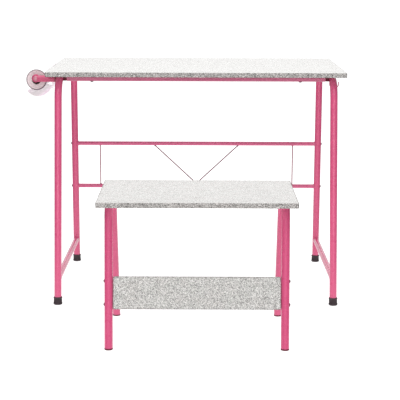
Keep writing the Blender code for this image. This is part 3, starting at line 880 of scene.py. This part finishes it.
def desk_apron():
    z = DESK_H - BOARD_T - GAP - APRON_R
    y = DESK.y + APRON_Y
    bm = new_mesh()
    path = [Vector((DESK.x + x, y, z)) for x in (-APRON_HALF, APRON_HALF)]
    sweep(bm, path, APRON_R, 44)
    piece(bm, "desk_apron_rail", "desk", [PINK_APRON_SHADED])
    for side, word in SIDES:
        saddle(f"desk_apron_saddle_{word}", side, y, z)
        screw = Vector((DESK.x + side * APRON_SCREW_X, y, z - APRON_R + HEAD_SUNK))
        screw_head(f"desk_apron_screw_{word}", screw, "desk")


def saddle(name, side, y, z):
    """A moulded block with three ribs, between the rail's end and the side frame."""
    bm = new_mesh()
    near = DESK.x + side * (APRON_HALF + GAP)
    far = run_point(desk_leg, side, y, DESK_RUN_Z).x - side * 0.004
    size = Vector((abs(far - near), SADDLE_SIDE, SADDLE_SIDE - 0.0005))
    centre = Vector(((near + far) / 2, y, z + 0.00025))
    block = new_cube(bm)
    for vert in block:
        vert.co = centre + vert.co * size
    bevel(bm, block, 0.0016, 4, 0.6)
    rib_size = Vector((RIB_W, SADDLE_SIDE + 2 * RIB_OUT, size.z - 0.0040))
    for x_share in (0.24, 0.50, 0.76):
        rib = new_cube(bm)
        for vert in rib:
            vert.co = Vector((near + (far - near) * x_share, y, centre.z)) + vert.co * rib_size
        bevel(bm, rib, 0.0003, 2)
    piece(bm, name, "desk", [PLASTIC], 40)


def desk_top_screws():
    for side, word in SIDES:
        for rear, place in ENDS:
            centre = run_point(desk_leg, side, DESK.y + TOP_SCREW_Y[rear], DESK_RUN_Z)
            centre.z -= DESK_TUBE_R - HEAD_SUNK
            screw_head(f"desk_top_screw_{place}_{word}", centre, "desk")


def truss_point(x, z):
    point = desk_leg(1, 1, z)
    return Vector((DESK.x + x, point.y, z))


def desk_truss():
    for z, place in zip(RAIL_Z, ("upper", "lower")):
        leg_x = desk_leg(1, 1, z).x - DESK.x
        reach = leg_x - DESK_TUBE_R + WALL_IN
        bm = new_mesh()
        ends = [truss_point(-reach, z), truss_point(reach, z)]
        sweep(bm, ends, RAIL_R, 36)
        for side, word in SIDES:
            leg = desk_leg(side, 1, z)
            trunk_dir = desk_leg(side, 1, z + 0.1) - leg
            weld(bm, truss_point(side * (leg_x - WELD_FROM), z), (side, 0, 0), RAIL_R, leg,
                 trunk_dir, DESK_TUBE_R, bead=0.0012, seed=31 + side + int(z * 100))
            bolt_head(f"desk_rail_bolt_{place}_{word}", leg, side, DESK_TUBE_R, "desk")
        piece(bm, f"desk_rear_rail_{place}", "desk", [PINK_RAIL_SHADED])
    high, low = RAIL_Z
    sunk = RAIL_R - 0.0006
    for side, word in SIDES:
        x = side * POST_X
        bm = new_mesh()
        ends = [truss_point(x, low + sunk), truss_point(x, high - sunk)]
        sweep(bm, ends, WIRE_R, 16)
        for k, end in enumerate(ends):
            dot_weld(bm, end, WIRE_R * 1.7, 5 * side + k)
        piece(bm, f"desk_truss_post_{word}", "desk", [POST_WIRE_SHADED])
    top_z = high - RAIL_R - GAP - WIRE_R + BRACE_SUNK
    apex_z = low + RAIL_R + GAP + WIRE_R
    corners = [truss_point(x, z) for x, z in ((-BRACE_X, top_z), (0, apex_z), (BRACE_X, top_z))]
    path, _ = bent_path(corners, APEX_BEND_R, 10)
    bm = new_mesh()
    sweep(bm, path, WIRE_R, 16)
    for k, point in enumerate((corners[0], truss_point(0, apex_z - 0.0008), corners[2])):
        dot_weld(bm, point, WIRE_R * 1.7, 20 + k)
    piece(bm, "desk_truss_v_wire", "desk", [V_WIRE_SHADED])


def desk_hook():
    top_z = DESK_RUN_Z - DESK_TUBE_R + 0.0004
    y = DESK.y + HOOK_Y
    x = run_point(desk_leg, 1, y, DESK_RUN_Z).x
    reach = HOOK_REACH
    corners = [(x, y, top_z), (x, y, HOOK_BOTTOM_Z), (x + reach, y, HOOK_BOTTOM_Z),
               (x + reach, y, HOOK_TIP_Z)]
    path, _ = bent_path(corners, reach / 2 - 0.0002, 20)
    tip = path.pop()
    r = HOOK_WIRE_R
    radii = [(r, r)] * len(path)
    for k in range(7):
        turn = math.pi / 2 * k / 6
        path.append(tip + Vector((0, 0, -r + r * math.sin(turn))))
        shrink = max(r * math.cos(turn), r * 0.08)
        radii.append((shrink, shrink))
    bm = new_mesh()
    sweep(bm, path, radii, 20)
    collar = [(0.0, 0.0046), (0.0005, 0.0049), (0.0012, 0.0048), (0.0018, 0.0040),
              (0.0026, 0.0024), (0.0036, 0.0018)]
    lathe(bm, collar, (0, 0, -1), (x, y, top_z), 32, edges=(1,))
    piece(bm, "desk_side_hook", "desk", [ROD_CAP])


# ---------------- paper roll

def roll_holder():
    for end, word in ((-1, "front"), (1, "rear")):
        y = DESK.y + end * ARM_Y
        run_x = run_point(desk_leg, -1, y, DESK_RUN_Z).x
        root_x = run_x - DESK_TUBE_R + ARM_IN
        arm_z = ROD_Z - ARM_DROP
        # Painted shade: a dark shadow seam at the arm's root, where it meets the side frame.
        seam_shade = ((root_x, y, arm_z), (1.0, 0.0, 0.0), *ARM_SHADE_SEAM)
        # The arms' paint is a darker, shaded copy of the pink: painted shade.
        arm_paint = paint(f"pink_paint_arm_{word}_look", *ARM_SHADED_COLOURS, seam_shade=seam_shade, gloss=0.2)
        bm = new_mesh()
        sweep(bm, [(root_x, y, arm_z), (ROLL.x + ARM_TIP, y, arm_z)], ARM_R, 44)
        r = EYE_R
        t = EYE_T
        profile = [(0.0, r * 0.55), (0.0, r * 0.80), (t * 0.06, r * 0.90), (t * 0.16, r * 0.97),
                   (t * 0.32, r), (t * 0.68, r), (t * 0.84, r * 0.97), (t * 0.94, r * 0.90),
                   (t, r * 0.80), (t, r * 0.55)]
        lathe(bm, profile, (0, 1, 0), (ROLL.x, y - t / 2, ROD_Z), 56, edges=(2, 7))
        weld(bm, (root_x - ARM_WELD_FROM, y, arm_z), RIGHT, ARM_R, (run_x, y, DESK_RUN_Z),
             (0, 1, 0), DESK_TUBE_R, bead=0.0014, seed=50 + end)
        piece(bm, f"roll_arm_{word}", "desk", [arm_paint])
        r = ROD_CAP_R
        h = ROD_CAP_H
        bm = bmesh.new()
        profile = [(-0.0003, r * 0.97), (0.0003, r), (h * 0.30, r * 0.97), (h * 0.55, r * 0.86),
                   (h * 0.78, r * 0.66), (h * 0.92, r * 0.42), (h, r * 0.14)]
        lathe(bm, profile, (0, end, 0), (ROLL.x, y + end * t / 2, ROD_Z), 48, edges=(3, 4))
        piece(bm, f"roll_rod_cap_{word}", "desk", [ROD_CAP])
    bm = new_mesh()
    reach = ARM_Y - EYE_T / 2
    sweep(bm, [(ROLL.x, DESK.y - reach, ROD_Z), (ROLL.x, DESK.y + reach, ROD_Z)], ROD_R, 44)
    piece(bm, "roll_rod", "desk", [PINK])


def pipe(bm, section, sides, materials):
    """A ring round the roll's axis from a closed section of (radius, along Y) points."""
    loops = []
    for radius, along in section:
        centre = Vector((ROLL.x, ROLL.y + along, ROLL.z))
        loops.append(loop_of(bm, centre, RIGHT, UP, (radius, radius), sides))
    for i, loop in enumerate(loops):
        bridge(bm, loop, loops[(i + 1) % len(loops)], materials[i])


def paper_roll():
    """The wound paper, whose layers end at slightly different depths, and the core inside it."""
    draw = random.Random(4)
    inner = CORE_OUT_R + GAP
    face = []
    for k in range(ROLL_LAYERS):
        low = inner + (ROLL_R - inner) * k / ROLL_LAYERS
        high = inner + (ROLL_R - inner) * (k + 1) / ROLL_LAYERS
        back = 0.00045 * draw.random() + 0.0004 * math.sin(math.pi * k / ROLL_LAYERS)
        face += [(low, back), (high - LAYER_STEP, back)]
    face[-2:] = [(low, LAST_LAYER_BACK), (ROLL_R, LAST_LAYER_BACK)]
    section = [(radius, back - ROLL_HALF) for radius, back in face]
    points = section + [(radius, -along) for radius, along in reversed(section)]
    materials = [0] * len(points)
    materials[len(section) - 1] = materials[-1] = 1
    bm = bmesh.new()
    pipe(bm, points, 112, materials)
    piece(bm, "roll_paper", "paper_roll", [ROLL_ENDS, PAPER], 25)
    half = ROLL_HALF + CORE_PROUD
    bm = bmesh.new()
    ease = 0.0003
    section = [(CORE_IN_R, ease - half), (CORE_IN_R + ease, -half), (CORE_OUT_R - ease, -half),
               (CORE_OUT_R, ease - half), (CORE_OUT_R, half - ease), (CORE_OUT_R - ease, half),
               (CORE_IN_R + ease, half), (CORE_IN_R, half - ease)]
    pipe(bm, section, 96, [0] * len(section))
    piece(bm, "roll_core", "paper_roll", [CARD], 30)


def smooth(value):
    share = min(max(value, 0.0), 1.0)
    return share * share * (3 - 2 * share)


def tail_radius(degrees):
    leaves, opened, last = TAIL_DEG
    share = smooth((leaves - degrees) / (leaves - opened))
    curl = smooth((TAIL_CURL_DEG - degrees) / (TAIL_CURL_DEG - last))
    start = ROLL_R + TAIL_CLEAR
    return start + (TAIL_R - TAIL_T - start) * share - TAIL_CURL * curl


def loose_sheet():
    """The curled free end of the paper: a thin sheet that leaves the roll and waves a little."""
    rows, columns = SHEET_ROWS, SHEET_COLUMNS
    first, _, last = TAIL_DEG
    bm = bmesh.new()
    sheets = []
    for lift in (0.0, TAIL_T):
        grid = []
        for i in range(rows + 1):
            degrees = first + (last - first) * i / rows
            free = max(0.0, (i / rows - 0.25) / 0.75)
            line = []
            for j in range(columns + 1):
                y = ROLL_HALF * (2 * j / columns - 1)
                wave = 0.0009 * free * math.sin(2.1 * math.pi * j / columns + 0.6 + 2.0 * free)
                wave += 0.0005 * free * free * math.sin(5.3 * math.pi * j / columns + 1.9)
                corner = abs(2 * j / columns - 1) ** 6 * free ** 4
                radius = tail_radius(degrees) + wave - 0.0022 * corner + lift
                turn = math.radians(degrees)
                line.append(bm.verts.new((ROLL.x + radius * math.cos(turn), ROLL.y + y,
                                          ROLL.z + radius * math.sin(turn))))
            grid.append(line)
        for before, after in zip(grid, grid[1:]):
            for j in range(columns):
                bm.faces.new((before[j], before[j + 1], after[j + 1], after[j]))
        sheets.append(grid)
    low, high = sheets

    def border(grid):
        side = grid[0] + [line[-1] for line in grid[1:]]
        return side + grid[-1][-2::-1] + [line[0] for line in grid[-2:0:-1]]

    bridge(bm, border(low), border(high))
    piece(bm, "roll_loose_sheet", "desk", [SHEET], 60)


# ---------------- bench

def bench_boards():
    flat_board("bench_seat", "bench")
    low, high = FRONT_BOARD_Z
    bottom = bench_leg(1, 0, low)
    top = bench_leg(1, 0, high)
    slant = (top - bottom).normalized()
    half_x = bottom.x - BENCH.x - BENCH_TUBE_R - 2 * GAP
    bm = board(half_x, (top - bottom).length / 2, BOARD_T)
    turn = Matrix.Rotation(math.atan2(slant.z, slant.y), 4, "X")
    centre = middle("bench_front_board")
    bmesh.ops.transform(bm, matrix=turn, verts=bm.verts)
    shift(bm, Vector((BENCH.x, centre.y, centre.z)))
    piece(bm, "bench_front_board", "bench", [FACE, BAND, FACE])


def bench_sides():
    for side, word in SIDES:
        side_frame(f"bench_side_frame_{word}", bench_leg, side, PLUG_H + GAP, BENCH_RUN_Z,
                   BENCH_TUBE_R, BENCH_BEND_R, "bench", True)
        for rear, place in ENDS:
            r = BENCH_TUBE_R + GAP
            bm = bmesh.new()
            profile = [(0.0, r - 0.0022), (0.0004, r - 0.0010), (0.0012, r - 0.0002),
                       (0.0020, r), (PLUG_H - 0.0006, r), (PLUG_H - 0.0001, r - 0.0004),
                       (PLUG_H + 0.0002, r - 0.0012)]
            lathe(bm, profile, UP, None, 48, edges=(3, 4),
                  centre_of=lambda z: bench_leg(side, rear, z))
            node = f"bench_foot_plug_{place}_{word}"
            piece(bm, node, "bench", [PLASTIC], 40)
            centre = run_point(bench_leg, side, BENCH.y + SEAT_SCREW_Y[rear], BENCH_RUN_Z)
            centre.z -= BENCH_TUBE_R - HEAD_SUNK
            screw_head(f"bench_seat_screw_{place}_{word}", centre, "bench")
        for z, place in zip(BOARD_BOLT_Z, ("lower", "upper")):
            bolt_head(f"bench_board_bolt_{place}_{word}", bench_leg(side, 0, z), side, BENCH_TUBE_R,
                      "bench")


# ---------------- stage

WORLD_FRONT = 0.80                  # strengths of the surroundings
WORLD_BACK = 1.12
WORLD_SIDE = 0.12
FLOOR_GLOW = 1.12
FLOOR_AHEAD = 4.2                   # how much more the floor glows far in front
FLOOR_HALF = 150.0
FLOOR_SUNK = 0.0003
FLOOR_GREY = 0.32
OVERHEAD_SIZE = 3.0
OVERHEAD_POWER = 62
FRONT_SPREAD = 36.0                 # degrees
FRONT_POWER = 0.50


def build_world():
    """White to the camera. To other rays it is bright behind, softer in front and dim aside."""
    world = bpy.data.worlds.new("studio")
    bpy.context.scene.world = world
    net = Net(world, "Background", "Generated")
    along = net.ramp(net.part("Y"), -0.3, 0.6, WORLD_FRONT, WORLD_BACK)
    aside = net.ramp(net.calc("ABSOLUTE", net.part("X")), 0.25, 0.90)
    net.set(Color=(1, 1, 1), Strength=net.to_camera(net.blend(aside, along, WORLD_SIDE)))


def build_floor():
    """A very large pale floor, white to the camera. Its glow on the object is a strip that widens
    and strengthens in front, and fades behind and aside."""
    mesh = bpy.data.meshes.new("floor")
    corners = [(FLOOR_HALF * x, FLOOR_HALF * y, 0) for x, y in ((-1, -1), (1, -1), (1, 1), (-1, 1))]
    mesh.from_pydata(corners, [], [(0, 1, 2, 3)])
    floor = add_object("floor", mesh)
    floor.location = (0, 0, -FLOOR_SUNK)
    material, net = new_material("pale_floor")
    net.set(Base_Color=[FLOOR_GREY] * 3, Roughness=0.9, Specular_IOR_Level=0.0,
            Emission_Color=(1, 1, 1))
    depth = net.part("Y")
    opened = net.times(net.calc("MINIMUM", net.calc("ADD", depth, 1.4), 0.0), 0.35)
    aside = net.calc("ADD", net.calc("ABSOLUTE", net.part("X")), opened)
    aside = net.ramp(aside, 0.5, 1.5, 1.0, 0.08)
    ahead = net.ramp(depth, -9.0, -1.8, FLOOR_AHEAD, 1.0)
    behind = net.ramp(depth, 0.5, 1.6, 1.0, 0.30)
    spill = net.times(net.times(aside, ahead), net.times(behind, FLOOR_GLOW))
    net.set(Emission_Strength=net.to_camera(spill))
    mesh.materials.append(material)


def build_lights():
    """A large overhead box, and a broad even light from in front, the same on desk and bench."""
    box = bpy.data.lights.new("overhead_box", "AREA")
    box.size = OVERHEAD_SIZE
    box.energy = OVERHEAD_POWER
    place = DESK + Vector((0, -0.4, 3.0))
    target = DESK + Vector((0, -0.3, 0))
    overhead = add_object("overhead_box", box)
    overhead.location = place
    overhead.rotation_euler = (target - place).to_track_quat("-Z", "Y").to_euler()
    sun = bpy.data.lights.new("front_light", "SUN")
    sun.energy = FRONT_POWER
    sun.angle = math.radians(FRONT_SPREAD)
    front = add_object("front_light", sun)
    front.rotation_euler = Vector((0.0, -1.0, 0.85)).to_track_quat("Z", "Y").to_euler()


CAMERA_AT = Vector((0.0133, -4.3286, 1.0537))       # from the desk's centre on the floor
CAMERA_PITCH = 0.1788
CAMERA_YAW = 0.0001
CAMERA_ROLL = 0.0032
CAMERA_LENS = 121.7475              # millimetres, as is the sensor's width
CAMERA_SENSOR = 36.0


def build_camera():
    data = bpy.data.cameras.new("camera")
    data.lens = CAMERA_LENS
    data.sensor_width = CAMERA_SENSOR
    data.clip_end = 400.0
    camera = add_object("camera", data)
    turn = Matrix.Rotation(CAMERA_YAW, 4, "Z")
    turn = turn @ Matrix.Rotation(math.pi / 2 - CAMERA_PITCH, 4, "X")
    turn = turn @ Matrix.Rotation(CAMERA_ROLL, 4, "Z")
    camera.matrix_world = Matrix.Translation(DESK + CAMERA_AT) @ turn
    bpy.context.scene.camera = camera


def main():
    flat_board("desk_top", "desk")
    desk_sides()
    desk_apron()
    desk_top_screws()
    desk_truss()
    desk_hook()
    roll_holder()
    paper_roll()
    loose_sheet()
    bench_boards()
    bench_sides()
    build_world()
    build_floor()
    build_lights()
    build_camera()
    bpy.context.scene.view_settings.view_transform = "Standard"


main()
